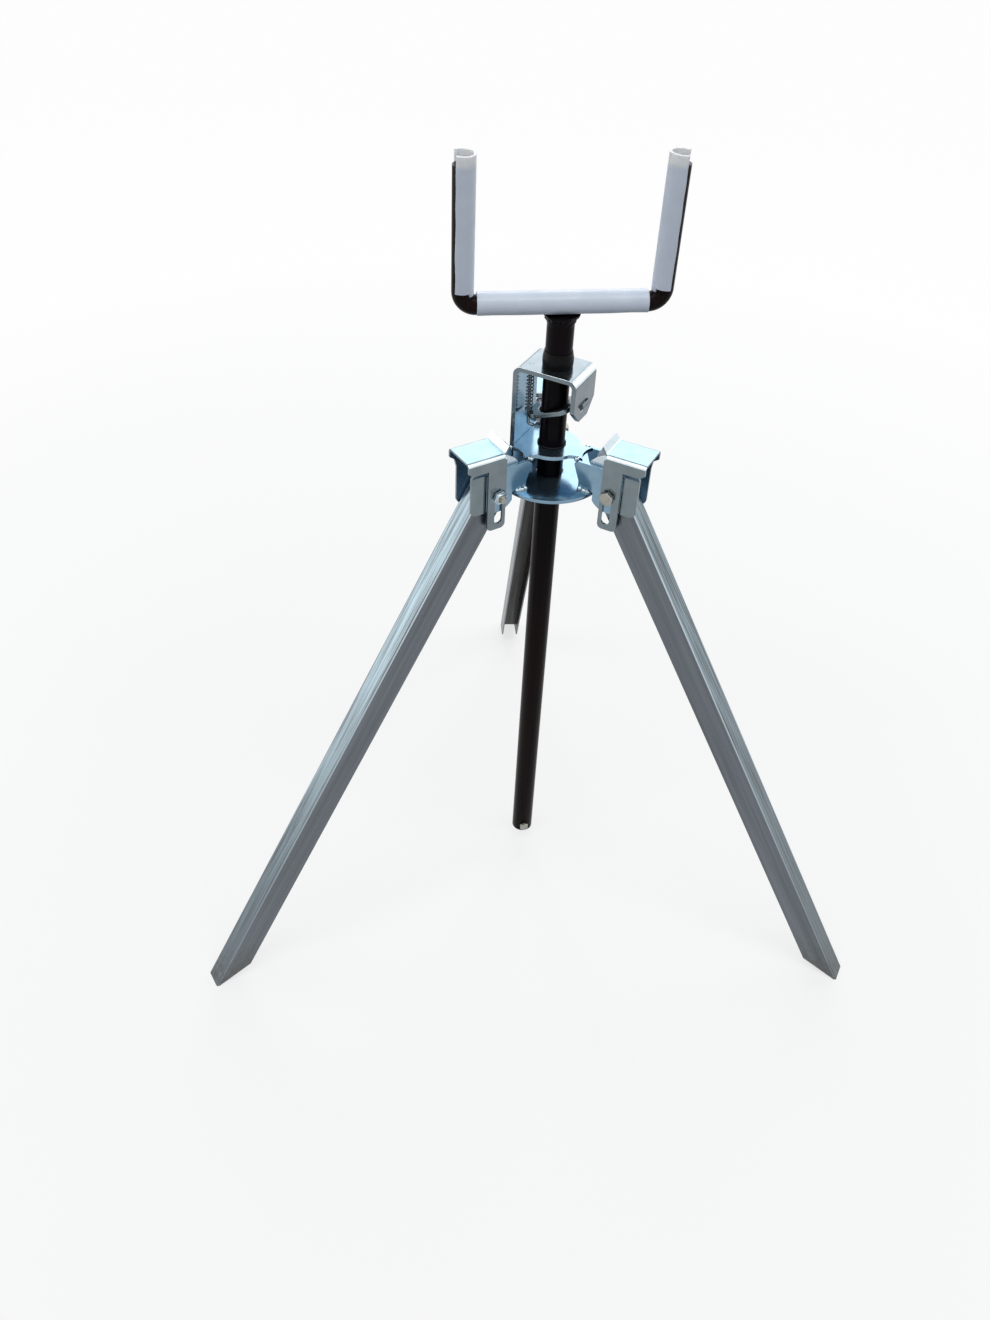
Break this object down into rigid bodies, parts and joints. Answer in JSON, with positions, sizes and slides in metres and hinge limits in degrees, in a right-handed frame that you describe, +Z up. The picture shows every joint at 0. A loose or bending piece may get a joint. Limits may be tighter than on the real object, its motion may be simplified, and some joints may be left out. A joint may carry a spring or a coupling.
{
  "type": "folding support stand",
  "caption": "Folding tripod stand with a sliding post and a U-shaped fork in plastic sleeves that holds up a pipe or cable, clamped at any height by a sprung clutch plate.",
  "frame": {"origin": "on the floor, under the middle of the stand's box", "axes": "+Z up along the post, +Y towards the rear leg, +X to the right seen from the front"},
  "size_m": [1.013, 0.8782, 1.1587],
  "materials": {
    "zinc_plated": "bright blue zinc plating",
    "galvanised": "dull galvanised sheet",
    "yellow_zinc": "faint yellow zinc plating",
    "black_steel": "black lacquered tube with a brown cast",
    "spring_steel": "drawn spring wire",
    "white_plastic": "smooth milky polyethylene",
    "black_plastic": "plain moulded plastic"
  },
  "bodies": {
    "hub": {"lower_disc": "zinc_plated", "upper_plate": "zinc_plated", "arm_plate_rear_bolt_side": "zinc_plated", "arm_plate_rear_nut_side": "zinc_plated", "arm_plate_left_bolt_side": "zinc_plated", "arm_plate_left_nut_side": "zinc_plated", "arm_plate_right_bolt_side": "zinc_plated", "arm_plate_right_nut_side": "zinc_plated", "pivot_bolt_rear": "yellow_zinc", "pivot_bolt_left": "yellow_zinc", "pivot_bolt_right": "yellow_zinc", "pivot_nut_rear": "zinc_plated", "pivot_nut_left": "zinc_plated", "pivot_nut_right": "zinc_plated", "pivot_sleeve_rear": "zinc_plated", "pivot_sleeve_left": "zinc_plated", "pivot_sleeve_right": "zinc_plated", "clutch_bracket": "zinc_plated", "spring_pin": "zinc_plated", "clutch_spring": "spring_steel"},
    "leg_rear": {"leg_rear": "galvanised"},
    "leg_left": {"leg_left": "galvanised"},
    "leg_right": {"leg_right": "galvanised"},
    "cap_rear": {"lock_cap_rear": "zinc_plated"},
    "cap_left": {"lock_cap_left": "zinc_plated"},
    "cap_right": {"lock_cap_right": "zinc_plated"},
    "clutch": {"clutch_plate": "zinc_plated"},
    "post_guide": {"post_bush_lower": "black_plastic", "post_bush_upper": "black_plastic"},
    "post": {"post_tube": "black_steel", "fork_bar": "black_steel", "fork_sleeve_left": "white_plastic", "fork_sleeve_right": "white_plastic", "fork_sleeve_crossbar": "white_plastic", "stop_bolt": "yellow_zinc", "stop_nut": "zinc_plated"}
  },
  "joints": [
    {"name": "leg_fold_rear", "type": "hinge", "parent": "hub", "child": "leg_rear", "pos_m": [0, -0.04357, 0.7635], "axis": [-1, 0, 0], "range_deg": [0, 31]},
    {"name": "leg_fold_left", "type": "hinge", "parent": "hub", "child": "leg_left", "pos_m": [-0.08184, -0.18532, 0.7635], "axis": [0.5, -0.866, 0], "range_deg": [0, 31]},
    {"name": "leg_fold_right", "type": "hinge", "parent": "hub", "child": "leg_right", "pos_m": [0.08184, -0.18532, 0.7635], "axis": [0.5, 0.866, 0], "range_deg": [0, 31]},
    {"name": "cap_lift_rear", "type": "slide", "parent": "hub", "child": "cap_rear", "axis": [0, 0, 1], "range_m": [0, 0.036]},
    {"name": "cap_lift_left", "type": "slide", "parent": "hub", "child": "cap_left", "axis": [0, 0, 1], "range_m": [0, 0.036]},
    {"name": "cap_lift_right", "type": "slide", "parent": "hub", "child": "cap_right", "axis": [0, 0, 1], "range_m": [0, 0.036]},
    {"name": "clutch_release", "type": "hinge", "parent": "hub", "child": "clutch", "pos_m": [0.03204, -0.15657, 0.867], "axis": [0.5, 0.866, 0], "range_deg": [0, 12], "stiffness_Nm_per_rad": 3, "springref_deg": -11.46, "deforming": ["clutch_spring"]},
    {"name": "post_swivel", "type": "hinge", "parent": "hub", "child": "post_guide", "pos_m": [0, -0.13807, 0.8], "axis": [0, 0, 1], "continuous": true},
    {"name": "post_height", "type": "slide", "parent": "post_guide", "child": "post", "axis": [0, 0, 1], "range_m": [-0.025, 0.7]}
  ],
  "couplings": [
    {"joint": "cap_lift_rear", "follows": "leg_fold_rear", "m_per_rad": 0.0665},
    {"joint": "cap_lift_left", "follows": "leg_fold_left", "m_per_rad": 0.0665},
    {"joint": "cap_lift_right", "follows": "leg_fold_right", "m_per_rad": 0.0665}
  ]
}
